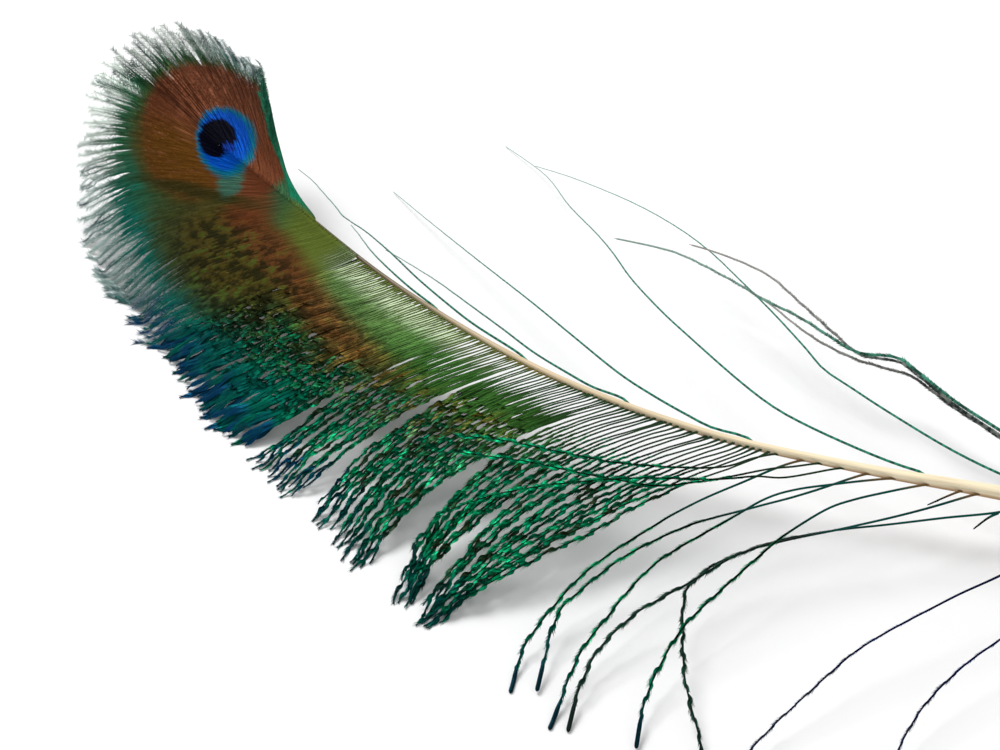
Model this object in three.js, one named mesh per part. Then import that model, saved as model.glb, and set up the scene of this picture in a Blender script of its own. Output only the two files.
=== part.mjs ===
// Peacock eye feather lying on a flat surface. Millimetres, +Z up, +X towards the quill's end.
//
// Every piece of vane is laid out flat first, in two vane coordinates:
//   p  distance along the shaft from the quill's end
//   q  distance out from the shaft, positive on the near side (-Y), negative on the far side
// drape() then bends that flat sheet over the raised shaft and down to the surface.

import * as THREE from 'three';

// ---- driving dimensions ----

const quillRadius = 1.5;
const shaftTipRadius = 0.2;
const shaftSides = 12;
const shaftStations = 60;
const vaneThickness = 0.6;
const vaneGap = 0.35;           // between the shaft and the root edge of a vane piece
const lockGap = 0.9;            // between neighbouring locks, measured along the shaft
const barbRadius = 0.42;        // a loose barb with its barbules folded round it
const farBarbRadius = 0.3;      // a thin bare barb of the far side
const tuftRadius = 1.6;
const tubeEnd = 0.65;           // a tube's radius at its ends, as a part of its full radius
const barbSides = 6;
const restingTip = 2;           // length of a barb's tip that lies flat on the surface
const quillPoint = 2.5;         // length over which the quill's end is rounded off
const nearBend = THREE.MathUtils.degToRad(0.3);   // how fast the near vane droops, per mm
const farBend = THREE.MathUtils.degToRad(2.6);    // how fast the far vane curls over, per mm

// the shaft's centre line, from the quill's end to the notch of the eye
const shaftPoints = [
  [134.1, -57, 0.82],
  [102.1, -53.3, 7.4],
  [66.8, -47.6, 11.6],
  [43.2, -42.4, 12.6],
  [15.3, -33.9, 13.8],
  [-14.1, -19.7, 16.8],
  [-42.7, 2.8, 20.3],
  [-66.7, 27.5, 24.3],
  [-87.7, 49.1, 28.2],
];

// [p, width, height] of the shaft: a round quill, then a squarer rachis that tapers away
const shaftSizes = [
  [0, 1.6, 1.6],
  [quillPoint, 1.8 * quillRadius, 1.8 * quillRadius],
  [12, 2 * quillRadius, 2 * quillRadius],
  [26, 2 * quillRadius, 2 * quillRadius],
  [45, 2.6, 2.9],
  [69, 2.3, 2.5],
  [93, 1.65, 1.9],
  [120, 1.35, 1.6],
  [160, 1.1, 1.3],
  [214, 0.7, 0.85],
  [256.7, 2 * shaftTipRadius, 2 * shaftTipRadius],
];

// [p, q] where the near vane comes down to the surface
const nearReach = [
  [0, 62.5], [128, 62.5], [133, 58.5], [140, 56], [149, 54], [154, 52.8], [161, 49.7], [165, 49],
  [172, 48.4], [179, 47.5], [183, 46.9], [194, 45], [199, 46.4], [206, 46.6], [217, 45.6],
  [235, 44.7], [245, 43.7], [256, 42.5], [275, 42.5], [297, 42], [330, 42],
];

// [root p, angle to the shaft at the root, angle at the tip, length] of the barbs
const nearBarbs = [
  [100, 42, 94, 65],
  [120, 39, 92, 64],
  [134, 40, 94, 61.5],
  [147, 44, 93, 56],
  [160, 51, 84, 52.5],
  [187, 57, 64, 53],
  [207, 58, 50, 55],
  [216, 50, 45, 57],
  [227, 43, 45, 62],
  [235, 32, 39, 68],
  [241, 22, 31, 70],
  [247, 12, 24, 65],
  [252, 3, 14, 57.5],
  [256.7, 0.5, 4, 50],
];
const farBarbs = [
  [229, 26, 34, 54],
  [234, 28, 26, 57],
  [241, 30, 15, 57],
  [247, 26, 11, 55],
  [252, 15, 5, 51],
  [256.7, 1, 2, 48],
];

// locks of the near vane: roots along the shaft, the root that the tips lean to, how much they
// lean to it, and how late along the barbs: a power over 1 keeps the roots of a lock spread
const nearLocks = [
  { name: 'near_lock_1', roots: [108.6, 127], focus: 126, pinch: 0.66, power: 2 },
  { name: 'near_lock_2', roots: [127, 138.8], focus: 129.2, pinch: 0.55, power: 2 },
  { name: 'near_lock_3', roots: [138.8, 158], focus: 140, pinch: 0.16, power: 0.8 },
  { name: 'near_lock_4', roots: [158.6, 170.5], focus: 171, pinch: 0.08, power: 0.8 },
  { name: 'near_lock_5', roots: [170.9, 190], focus: 190, pinch: 0.13, power: 0.8 },
  { name: 'near_lock_6', roots: [190, 205], focus: 205, pinch: 0.12, power: 3 },
];
const eyeNearRoots = [205, 256.2];
const eyeFarRoots = [256.2, 229];
const eyeTipRoot = 257.4;       // the one barb in line with the shaft, past its end

// loose barbs of the near side: [p, q, lift above the draped sheet], root first
const looseNearBarbs = {
  near_barb_1: [[102.6, 0, 0], [107, 3.6, 0], [112, 8.5, 0], [118.7, 15.7, 0], [125.1, 24.8, 0],
    [131.6, 35.2, 0], [134.4, 43, 0], [136.2, 51.4, 0], [135.5, 59.7, 0]],
  near_barb_2: [[90.9, 0, 0], [99.1, 6.4, 0], [104.4, 9.9, -0.4], [109.8, 13.6, -0.4], [117.8, 20, 0],
    [122.4, 25.1, 0], [127.3, 31.4, 0], [131.4, 38.8, 0], [133.5, 44.8, 0], [132.4, 57.8, 0]],
  near_barb_3: [[85.9, 0, 0], [97.4, 6, 0.9], [103.8, 9.3, 1.2], [108.3, 12.5, 1.2], [112.4, 17.1, 0.9],
    [120.2, 27.3, 0.4], [124.1, 34.9, 0], [126.6, 42.7, 0], [128.6, 50.4, 0], [129, 63, 0]],
  near_barb_4: [[71.3, 0, 0], [81.3, 6.4, 0], [93.9, 13.8, 0], [104.5, 19.6, 0], [111.3, 24.5, 0],
    [117.1, 32.4, 0.4], [121.2, 38.1, 0.3], [124, 42.7, 0], [126.3, 48.5, 0], [127, 55, 0],
    [126.6, 62.3, 0]],
  near_barb_5: [[80.1, 0, 0], [87.6, 4.6, 0.6], [94, 8.9, 1.2], [98.8, 12.8, 1.6], [104.5, 19.3, 1.6],
    [107.5, 23.6, 1.4], [112.3, 31.8, 1], [116.3, 40.2, 0.9], [118.1, 47.6, 0.2], [118.7, 54, 0],
    [118.3, 61.4, 0]],
  near_barb_6: [[62, 0, 0], [69.4, 4.6, 0], [79.8, 8, -0.6], [89.5, 11.6, -1], [98, 15, -1.2],
    [106, 19.2, -1.3], [112.1, 24.2, -1.3], [114.8, 27.2, -1.3], [117.2, 32.2, -1.1], [117.2, 36, -0.9],
    [116.5, 40.2, -0.6], [114.8, 48.6, 0], [111.3, 58.1, 0], [110.4, 63, 0]],
  near_barb_7: [[50, 0, 0], [60, 9.6, 0], [71.3, 18.5, 0], [80.1, 25.3, 0], [91.8, 36.5, 0],
    [101.5, 49.3, 0], [106.4, 58, 0], [107.8, 63, 0]],
  near_barb_8: [[45, 0, 0], [54, 11.5, 0], [64, 22.4, 0], [72.6, 30.5, 0], [78.5, 36.6, 0],
    [83.8, 44.6, 0], [87.6, 55, 0], [89.2, 63, 0]],
};
const strayBarbs = {
  stray_barb_1: [[107.4, 0, 0], [112, 4.6, 1.4], [116.7, 8.6, 1.6], [125.5, 12.2, 1.6],
    [133.6, 14.5, 1.6], [140.5, 15.8, 1.6], [147.9, 17.4, 1.6], [152.7, 18.7, 1.6],
    [161.1, 22, 1.6]],
  stray_barb_2: [[99.3, 0, 0], [104.5, 3.6, 0.8], [109.6, 6.7, 1.5], [119.2, 12.9, 1.5],
    [126, 16.7, 1.4], [132.9, 17.9, 1.4], [141.7, 19.4, 1.4], [147.9, 20.8, 1.5], [158.5, 24.6, 1.5]],
  stray_barb_3: [[95.3, 0, 0], [105.6, 6.8, 1], [111, 9.6, 2.4], [117.3, 12.9, 2.8],
    [125.3, 15.9, 2.8], [134.3, 19.6, 2.6], [142.7, 23.8, 1.6], [149.7, 29.6, 1.5],
    [155.5, 37, 1.4]],
};

// loose barbs of the far side, on their way from the shaft in millimetres
const looseFarBarbs = {
  far_barb_1: [[-35.5, -1.9, 19], [-40.8, 4.4, 19.2], [-46.2, 12.2, 19], [-50.4, 19.3, 18.6],
    [-54.3, 27.6, 18], [-56.5, 32, 17.6]],
  far_barb_2: [[-17.3, -16.3, 17.2], [-19.3, -14.2, 17.5], [-27, -6.4, 17.6], [-32.6, 0.8, 17.4],
    [-39.7, 11.2, 16.8], [-45.4, 20.9, 16], [-49.3, 27.2, 15.4], [-53.4, 33.3, 14.9],
    [-59.1, 40.2, 14.5], [-61.9, 45.5, 14.3], [-65.7, 52.4, 14], [-69.3, 59, 13.6], [-74.2, 66.2, 13]],
  far_barb_3: [[1.4, -26.3, 15.3], [-3.9, -23.5, 15.6], [-8.3, -20.1, 16], [-15.1, -13.6, 16.2],
    [-21.2, -5.8, 16], [-27.2, 2.2, 15.4], [-35.1, 12.7, 14.6], [-40.3, 19, 14], [-45.8, 25, 13.6],
    [-48.5, 27.8, 13.4]],
  far_barb_4: [[23.5, -35.3, 13.7], [17.8, -33, 13.8], [13.8, -29.7, 13.8], [7.7, -23.6, 13.6],
    [1.5, -15.8, 13], [-7.1, -1.3, 11.4], [-15.3, 13.9, 9], [-27.9, 35.4, 6], [-40.6, 57.4, 3],
    [-51.1, 76.2, 0.4]],
  far_barb_5: [[53.5, -43.3, 12.7], [49.9, -41.6, 12.8], [43.7, -37.4, 12.8], [36.1, -31.4, 12.8],
    [30.5, -25.8, 12.8], [24.9, -17.4, 12.8], [17.5, -3.5, 12.4], [12.7, 6.3, 12], [7.8, 19, 11.2],
    [4.6, 31.2, 10.2], [1.4, 41.4, 9.2], [-4.1, 58.7, 6.4], [-9.5, 81.3, 2.6], [-20.4, 102.3, 0.3]],
  far_barb_6: [[80.6, -48.2, 10.6], [71.2, -44.2, 11.2], [62.2, -36.9, 11.5], [52.5, -27.3, 12.6],
    [46.8, -20.4, 13], [42.7, -15.2, 13.3], [40.4, -8.3, 13.4], [36.2, 4, 13.2], [31.6, 16.7, 12.6],
    [26.6, 30, 11.8], [20.3, 41.9, 11], [11.1, 54.6, 10], [-2.2, 68.3, 8.8], [-12.8, 76.7, 8]],
  far_barb_7: [[96.6, -50.9, 8.4], [82.6, -43.5, 9.8], [71.5, -30.1, 10.8], [66.1, -24.3, 12],
    [60.6, -15.6, 13], [58.3, -12.7, 13.2], [54, -12, 13.5], [50.6, -10.4, 13.5], [47.7, -4.3, 13.5],
    [42.8, 7.3, 13.3], [38.7, 16.8, 13.1], [33.5, 22.8, 13], [27, 27.9, 12.9], [21.9, 31, 12.8]],
  far_barb_8: [[88.6, -49.6, 9.6], [80.6, -43, 12], [70.5, -31.1, 13], [65.2, -25.4, 14],
    [59.7, -17, 15], [57.4, -13.9, 15.2], [53.3, -13.1, 15.2], [49.8, -12.3, 15.2],
    [46.9, -9.1, 15.2], [40.8, -0.7, 15.2], [34.4, 6.5, 14.8], [29.5, 13.3, 14.5],
    [20.7, 23.9, 13.8], [15, 28.7, 13.2], [4.5, 34.3, 12.4]],
  far_barb_9: [[92.6, -50.3, 8.8], [82.6, -44, 8.8], [72.4, -29, 9.2], [66.8, -23.4, 10.4],
    [61, -15.4, 11.4], [58.3, -14.1, 11.6], [54.4, -12.2, 11.7], [51.1, -10.4, 11.7],
    [47.4, -7.2, 11.7], [43.8, -3.1, 11.7], [40.5, 2.4, 11.6], [37.6, 8.1, 11.5], [35, 12.3, 11.4]],
};

// downy tufts above the bare quill: [p, side, how far out, length]
const downTufts = [
  { name: 'down_tuft_1', p: 24, side: 1, reach: 9, length: 13 },
  { name: 'down_tuft_2', p: 24, side: -1, reach: 8.5, length: 12 },
];

// ---- finishes ----

const finish = (color, roughness) => new THREE.MeshStandardMaterial({ color, roughness, metalness: 0 });
const horn = () => finish('#ead9b4', 0.45);
const iridescent = () => finish('#1c6b46', 0.4);
const copper = () => finish('#7a4526', 0.4);
const darkBarb = () => finish('#16463f', 0.45);
const down = () => finish('#b9aea0', 0.9);

// ---- the shaft and the flat-to-draped mapping ----

const rad = THREE.MathUtils.degToRad;
const up = new THREE.Vector3(0, 0, 1);

const vector = ([x, y, z]) => new THREE.Vector3(x, y, z);
const steps = (from, to, count) =>
  Array.from({ length: count + 1 }, (_, i) => from + (to - from) * i / count);
const spline = (points) => new THREE.CatmullRomCurve3(points, false, 'catmullrom', 0.5);

const shaftCurve = spline(shaftPoints.map(vector));
shaftCurve.arcLengthDivisions = 800;
const shaftLength = shaftCurve.getLength();

// values of a table whose rows start with p, read between its rows
function readTable(table, p) {
  const last = table.length - 1;
  if (p <= table[0][0]) return table[0].slice(1);
  if (p >= table[last][0]) return table[last].slice(1);
  const i = table.findIndex((row) => row[0] > p);
  const [a, b] = [table[i - 1], table[i]];
  const f = (p - a[0]) / (b[0] - a[0]);
  return a.slice(1).map((value, k) => value + f * (b[k + 1] - value));
}

// the shaft's centre at p, its heading, and the level direction out to the near side
function shaftAt(p) {
  const u = THREE.MathUtils.clamp(p / shaftLength, 0, 1);
  const heading = shaftCurve.getTangentAt(u);
  const point = shaftCurve.getPointAt(u);
  point.addScaledVector(heading, Math.max(0, p - shaftLength));
  const side = new THREE.Vector3(-heading.y, heading.x, 0).normalize();
  return { point, heading, side };
}

// a point of the flat vane, bent down to the surface (near side) or curled over (far side)
function drape(p, q) {
  const { point, side } = shaftAt(p);
  const [reach] = readTable(nearReach, p);
  const lean = Math.asin(Math.min(point.z / reach, 0.95)) - nearBend * reach / 2;
  const bend = q >= 0 ? nearBend : farBend;
  const turned = lean + bend * q;
  const out = (Math.sin(turned) - Math.sin(lean)) / bend;
  const drop = (Math.cos(lean) - Math.cos(turned)) / bend;
  return point.clone().addScaledVector(side, out).setZ(point.z - drop);
}

// the vane's upward normal
function drapeNormal(p, q) {
  const step = 0.5;
  const alongShaft = drape(p + step, q).sub(drape(p - step, q));
  const outward = drape(p, q + step).sub(drape(p, q - step));
  return alongShaft.cross(outward).normalize();
}

// where a barb is after a length t, in vane coordinates; side is 1 near, -1 far, 0 in line
function alongBarb(table, root, side, t) {
  const [rootAngle, tipAngle, length] = readTable(table, root);
  const start = rad(rootAngle);
  const bend = (rad(tipAngle) - start) / length;
  const angle = start + bend * t;
  const [shaftWidth] = readTable(shaftSizes, root);
  const q = shaftWidth / 2 + vaneGap + (Math.cos(start) - Math.cos(angle)) / bend;
  return [root + (Math.sin(angle) - Math.sin(start)) / bend, side * q];
}

// ---- closed bodies ----

// skins a list of equal rings, each counter-clockwise seen from ahead, and closes both ends
function loft(rings) {
  const sides = rings[0].length;
  const positions = rings.flat().flatMap((v) => [v.x, v.y, v.z]);
  const index = [];
  for (let r = 0; r < rings.length - 1; r++) {
    for (let k = 0; k < sides; k++) {
      const a = r * sides + k;
      const b = r * sides + (k + 1) % sides;
      index.push(a, b, b + sides, a, b + sides, a + sides);
    }
  }
  const end = (rings.length - 1) * sides;
  for (let k = 0; k < sides / 2 - 1; k++) {
    const [a, b, c, d] = [k, k + 1, sides - 2 - k, sides - 1 - k];
    index.push(a, c, b, a, d, c);
    index.push(end + a, end + b, end + c, end + a, end + c, end + d);
  }
  const geometry = new THREE.BufferGeometry();
  geometry.setAttribute('position', new THREE.Float32BufferAttribute(positions, 3));
  geometry.setIndex(index);
  geometry.computeVertexNormals();
  return geometry;
}

// a round tapering tube along a curve
function tube(curve, radius, segments) {
  const rings = [];
  for (let i = 0; i <= segments; i++) {
    const u = i / segments;
    const heading = curve.getTangentAt(u);
    const across = new THREE.Vector3().crossVectors(up, heading).normalize();
    const over = new THREE.Vector3().crossVectors(heading, across);
    const r = radius * Math.min(1, tubeEnd + 6 * u * (1 - u));
    const centre = curve.getPointAt(u);
    centre.z = Math.max(centre.z, r);
    rings.push(Array.from({ length: barbSides }, (_, k) => {
      const a = 2 * Math.PI * k / barbSides;
      return centre.clone().addScaledVector(across, r * Math.cos(a)).addScaledVector(over, r * Math.sin(a));
    }));
  }
  return loft(rings);
}

const group = new THREE.Group();
function add(name, geometry, material) {
  const mesh = new THREE.Mesh(geometry, material);
  mesh.name = name;
  group.add(mesh);
}

// ---- shaft: round quill, square-shouldered rachis with a groove underneath ----

function shaftRing(p) {
  const { point, heading, side } = shaftAt(p);
  const over = new THREE.Vector3().crossVectors(heading, side);
  const [width, height] = readTable(shaftSizes, p);
  const square = THREE.MathUtils.smoothstep(p, 30, 70);
  return Array.from({ length: shaftSides }, (_, k) => {
    const a = 2 * Math.PI * k / shaftSides;
    const [c, s] = [Math.cos(a), Math.sin(a)];
    const shoulder = 1 + 0.16 * square * Math.abs(Math.sin(2 * a));
    const groove = s < -0.99 ? 1 - 0.35 * square : 1;
    const v = point.clone();
    v.addScaledVector(side, 0.5 * width * c * shoulder);
    v.addScaledVector(over, 0.5 * height * s * shoulder * groove);
    return v;
  });
}

function shaft() {
  const rest = steps(quillPoint, shaftLength, shaftStations);
  return loft([0, 0.3 * quillPoint, ...rest].map(shaftRing));
}

// ---- vane pieces: thin closed sheets over a row of barbs ----

// columns run outwards along barbs, from the one nearest the quill round to the last one
function vaneSheet(columns) {
  return loft(columns.map((column) => {
    const under = [];
    const upper = [];
    for (const [p, q] of column) {
      const middle = drape(p, q);
      const half = drapeNormal(p, q).multiplyScalar(vaneThickness / 2);
      const low = middle.clone().sub(half);
      const high = middle.add(half);
      low.z = Math.max(low.z, 0);
      high.z = Math.max(high.z, low.z + 0.6 * vaneThickness);
      under.push(low);
      upper.push(high);
    }
    return [...under, ...upper.reverse()];
  }));
}

// distances along a barb: even steps, then a short last one that lies flat on the surface
const barbSteps = (length) => [...steps(0, length - 0.75 * restingTip, 9), length + 0.25 * restingTip];

function nearLock({ roots, focus, pinch, power }) {
  const columns = steps(roots[0] + lockGap / 2, roots[1] - lockGap / 2, 6).map((root) => {
    const length = readTable(nearBarbs, root)[2];
    return barbSteps(length).map((t) => {
      const lean = pinch * (t / length) ** power;
      return alongBarb(nearBarbs, root + (focus - root) * lean, 1, t);
    });
  });
  return vaneSheet(columns);
}

function eyeVane() {
  const column = (table, root, side) =>
    barbSteps(readTable(table, root)[2]).map((t) => alongBarb(table, root, side, t));
  const near = steps(eyeNearRoots[0] + lockGap / 2, eyeNearRoots[1], 17)
    .map((root) => column(nearBarbs, root, 1));
  const far = steps(eyeFarRoots[0], eyeFarRoots[1], 12).map((root) => column(farBarbs, root, -1));
  return vaneSheet([...near, column(nearBarbs, eyeTipRoot, 0), ...far]);
}

// ---- loose barbs ----

// a barb given by hand in vane coordinates starts clear of the shaft's side
function drapedBarb(points) {
  const [[rootP]] = points;
  const [shaftWidth] = readTable(shaftSizes, rootP);
  const rootQ = 0.6 * shaftWidth + vaneGap + barbRadius;
  return spline(points.map(([p, q, lift]) => {
    const place = drape(p, Math.max(q, rootQ));
    return place.setZ(place.z + lift);
  }));
}

// ---- down tufts: soft clumps close to the shaft ----

function downTuft({ p, side, reach, length }) {
  const [shaftWidth] = readTable(shaftSizes, p);
  const path = new THREE.QuadraticBezierCurve3(
    drape(p, side * (shaftWidth / 2 + 2.4)),
    drape(p + 0.45 * length, side * 0.75 * reach),
    drape(p + length, side * reach),
  );
  return tube(path, tuftRadius, 8);
}

// ---- assembly ----

add('shaft', shaft(), horn());
add('eye_vane', eyeVane(), copper());
for (const lock of nearLocks) add(lock.name, nearLock(lock), iridescent());
for (const [name, points] of Object.entries(looseNearBarbs)) {
  add(name, tube(drapedBarb(points), barbRadius, 16), darkBarb());
}
for (const [name, points] of Object.entries(strayBarbs)) {
  add(name, tube(drapedBarb(points), barbRadius, 14), iridescent());
}
for (const [name, points] of Object.entries(looseFarBarbs)) {
  add(name, tube(spline(points.map(vector)), farBarbRadius, 18), darkBarb());
}
for (const tuft of downTufts) add(tuft.name, downTuft(tuft), down());

export default group;
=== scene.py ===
import math

import bpy
import numpy as np
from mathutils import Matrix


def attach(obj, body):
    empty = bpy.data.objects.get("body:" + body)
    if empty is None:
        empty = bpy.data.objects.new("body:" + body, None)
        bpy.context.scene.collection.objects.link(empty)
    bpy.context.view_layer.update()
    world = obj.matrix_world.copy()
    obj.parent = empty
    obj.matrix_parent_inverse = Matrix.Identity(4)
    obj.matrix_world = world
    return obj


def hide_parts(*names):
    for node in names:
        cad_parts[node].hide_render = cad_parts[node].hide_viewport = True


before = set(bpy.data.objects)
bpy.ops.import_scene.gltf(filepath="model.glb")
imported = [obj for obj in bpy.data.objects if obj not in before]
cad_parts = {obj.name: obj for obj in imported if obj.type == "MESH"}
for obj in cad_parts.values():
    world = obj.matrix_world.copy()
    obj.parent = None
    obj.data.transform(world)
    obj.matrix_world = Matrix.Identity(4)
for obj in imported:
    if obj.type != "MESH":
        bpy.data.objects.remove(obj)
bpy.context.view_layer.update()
mm = 0.001
dice = np.random.default_rng(11)
pathStep = 0.5  # how finely a barb's path is followed
toneCount = 90  # the tones that one barb runs through
floorClearance = 0.02  # no fibre dips below this height

# Lengths in the tables are millimetres. The vane is laid out flat first: p runs along the shaft
# from the quill's end, q out from the shaft, positive on the near side. drape() bends it down.

shaftPoints = np.array([
    [134.1, -57, 0.82], [102.1, -53.3, 7.4], [66.8, -47.6, 11.6], [43.2, -42.4, 12.6],
    [15.3, -33.9, 13.8], [-14.1, -19.7, 16.8], [-42.7, 2.8, 20.3], [-66.7, 27.5, 24.3],
    [-87.7, 49.1, 28.2]])
shaftSizes = np.array([  # p, width, height
    [0, 1.6, 1.6], [2.5, 2.7, 2.7], [12, 3, 3], [26, 3, 3], [45, 2.6, 2.9], [69, 2.3, 2.5],
    [93, 1.65, 1.9], [120, 1.35, 1.6], [160, 1.1, 1.3], [214, 0.7, 0.85], [256.7, 0.4, 0.4]])
nearReach = np.array([  # p, the q where the near vane meets the surface
    [0, 62.5], [128, 62.5], [133, 58.5], [140, 56], [149, 54], [154, 52.8], [161, 49.7],
    [165, 49], [172, 48.4], [179, 47.5], [183, 46.9], [194, 45], [199, 46.4], [206, 46.6],
    [217, 45.6], [235, 44.7], [245, 43.7], [256, 42.5], [275, 42.5], [297, 42], [330, 42]])
nearBarbs = np.array([  # root p, angle to the shaft at the root, angle at the tip, length
    [100, 42, 94, 65], [120, 39, 92, 64], [134, 40, 94, 61.5], [147, 44, 93, 56],
    [160, 51, 84, 52.5], [187, 57, 64, 53], [207, 58, 50, 55], [216, 50, 45, 57],
    [227, 43, 45, 62], [235, 32, 39, 68], [241, 22, 31, 70], [247, 12, 24, 65],
    [252, 3, 14, 57.5], [256.7, 0.5, 4, 50]])
farBarbs = np.array([
    [220, 5, 33, 33], [229, 26, 33, 58], [234, 28, 26, 57], [241, 30, 15, 57],
    [247, 26, 11, 55], [252, 15, 5, 51], [256.7, 1, 2, 48]])
vaneFall = {"near": math.radians(0.3), "far": math.radians(2.6), "rootGap": 0.35, "steepest": 0.95,
            "tuckFade": 1.2}


# the lines that everything follows

def curveThrough(points, steps=60):
    ends = np.vstack([2 * points[0] - points[1], points, 2 * points[-1] - points[-2]])
    w = np.linspace(0, 1, steps, endpoint=False)[:, None]
    runs = []
    for a, b, c, d in zip(ends, ends[1:], ends[2:], ends[3:]):
        s, e = (c - a) / 2, (d - b) / 2
        runs.append(b + s * w + (3 * (c - b) - 2 * s - e) * w**2 + (2 * (b - c) + s + e) * w**3)
    return np.vstack(runs + [points[-1:]])


def lengthsAlong(line):
    return np.r_[0, np.cumsum(np.linalg.norm(np.diff(line, axis=0), axis=1))]


def unit(v):
    return v / np.maximum(np.linalg.norm(v, axis=-1, keepdims=True), 1e-9)


def rows(where, table, line):
    return np.stack([np.interp(where, table, line[:, k]) for k in range(line.shape[1])], -1)


def ease(x, start, end):
    w = np.clip((x - start) / (end - start), 0, 1)
    return w * w * (3 - 2 * w)


shaftLine = curveThrough(shaftPoints)
shaftRuns = lengthsAlong(shaftLine)
shaftTurns = unit(np.gradient(shaftLine, axis=0))
shaftEnd = shaftRuns[-1]


def shaftAt(p):
    heading = unit(rows(p, shaftRuns, shaftTurns))
    point = rows(p, shaftRuns, shaftLine) + heading * np.maximum(0, p - shaftEnd)[..., None]
    side = unit(np.stack([-heading[..., 1], heading[..., 0], 0 * p], -1))
    return point, heading, side


def shaftWidth(p):
    return np.interp(p, shaftSizes[:, 0], shaftSizes[:, 1])


def drape(p, q):
    point, _, side = shaftAt(p)
    reach = np.interp(p, nearReach[:, 0], nearReach[:, 1])
    near = vaneFall["near"]
    lean = np.arcsin(np.minimum(point[..., 2] / reach, vaneFall["steepest"])) - near * reach / 2
    bend = np.where(q >= 0, near, vaneFall["far"])
    turned = lean + bend * q
    out = (np.sin(turned) - np.sin(lean)) / bend
    place = point + side * out[..., None]
    place[..., 2] -= (np.cos(lean) - np.cos(turned)) / bend
    return place


def drapeUp(p, q):
    step = 0.5
    along = drape(p + step, q) - drape(p - step, q)
    outward = drape(p, q + step) - drape(p, q - step)
    return unit(np.cross(along, outward))


def barbLine(table, root, side, t):
    start = np.radians(np.interp(root, table[:, 0], table[:, 1]))
    tip = np.radians(np.interp(root, table[:, 0], table[:, 2]))
    bend = (tip - start) / np.interp(root, table[:, 0], table[:, 3])
    straight = 1e-6
    bend = np.where(np.abs(bend) < straight, straight, bend)
    angle = start + bend * t
    q = shaftWidth(root) / 2 + vaneFall["rootGap"] + (np.cos(start) - np.cos(angle)) / bend
    return root + (np.sin(angle) - np.sin(start)) / bend, side * q


# strands: one barb's path, with what its fibres and its colour need to know

waveParts = ((2, 1.0), (4.3, 0.6), (9.1, 0.3))  # half turns in the longest wave, strength
waveLengths = {"sideways": 34, "upward": 26}
eyeHook = {"roots": (208, 222), "endRoots": (240, 254), "along": (0.5, 1.08), "longer": 0.35}
bladeSpread = (0.88, 1.14)
flatToneStride = 20  # a barb that doesn't twist changes its tone after this many steps
rough = {"patch": 1.7, "toneShift": 7}


def wave(t, longest):
    phases = dice.uniform(0, 2 * math.pi, len(waveParts))
    return sum(strength * np.sin(turns * math.pi * t / longest + phase)
               for (turns, strength), phase in zip(waveParts, phases))


def finishStrand(xyz, up, p, q, root, look):
    runs = lengthsAlong(xyz)
    xyz[:, 2] = np.maximum(xyz[:, 2], look["floorGap"])
    heading = unit(np.gradient(xyz, axis=0))
    up = unit(up - heading * np.sum(up * heading, -1, keepdims=True))
    flat = np.stack([p, q], -1)
    flatTurn = unit(np.gradient(flat, axis=0))
    line = np.hstack([xyz, heading, up, np.cross(up, heading), flat, flatTurn])
    return {"line": line, "runs": runs, "root": root, "chance": dice.uniform(), "length": runs[-1],
            "blade": look["blade"] * dice.uniform(*bladeSpread),
            "tones": dice.uniform(*look["tones"], toneCount),
            "twistStart": (dice.uniform(*look["twistStart"]) * runs[-1]
                           + dice.uniform(0, 1) * 2 * look["blade"]),
            "twistTurns": look["twistTurns"], "span": runs[-1] / look["span"],
            "gap": np.ones(len(runs))}


def strandAt(strand, t):
    line = rows(t, strand["runs"], strand["line"])
    xyz, heading, up, across = (line[:, i:i + 3] for i in (0, 3, 6, 9))
    flat, flatTurn = line[:, 12:14], unit(line[:, 14:16])
    return xyz, unit(heading), unit(up), unit(across), flat, flatTurn


def twistAt(strand, t, look):
    if not look["blade"]:
        stops = strand["runs"][::flatToneStride]
        return np.zeros_like(t), np.interp(t, stops, np.resize(strand["tones"], len(stops)))
    x = math.pi * np.clip((t - strand["twistStart"]) / strand["blade"], 0, strand["twistTurns"])
    tone = strand["tones"][np.minimum(np.floor(x / math.pi + 0.5).astype(int), toneCount - 1)]
    return x - 0.5 * look["square"] * np.sin(2 * x), tone


def unevenness(strand, t, look):
    patches = np.roll(strand["tones"], rough["toneShift"]) / look["tones"][1]
    return 1 - look["uneven"] * np.interp(t, np.arange(toneCount) * rough["patch"], patches)


def gapAlong(table, root, side, t, rootGap):
    step = 0.5
    p, q = barbLine(table, root, side, t)
    nextP, nextQ = barbLine(table, root + step, side, t)
    alongP, alongQ = np.gradient(p), np.gradient(q)
    run = np.maximum(np.hypot(alongP, alongQ), 1e-6)
    return np.abs((nextP - p) * alongQ - (nextQ - q) * alongP) / run * rootGap / step


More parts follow.
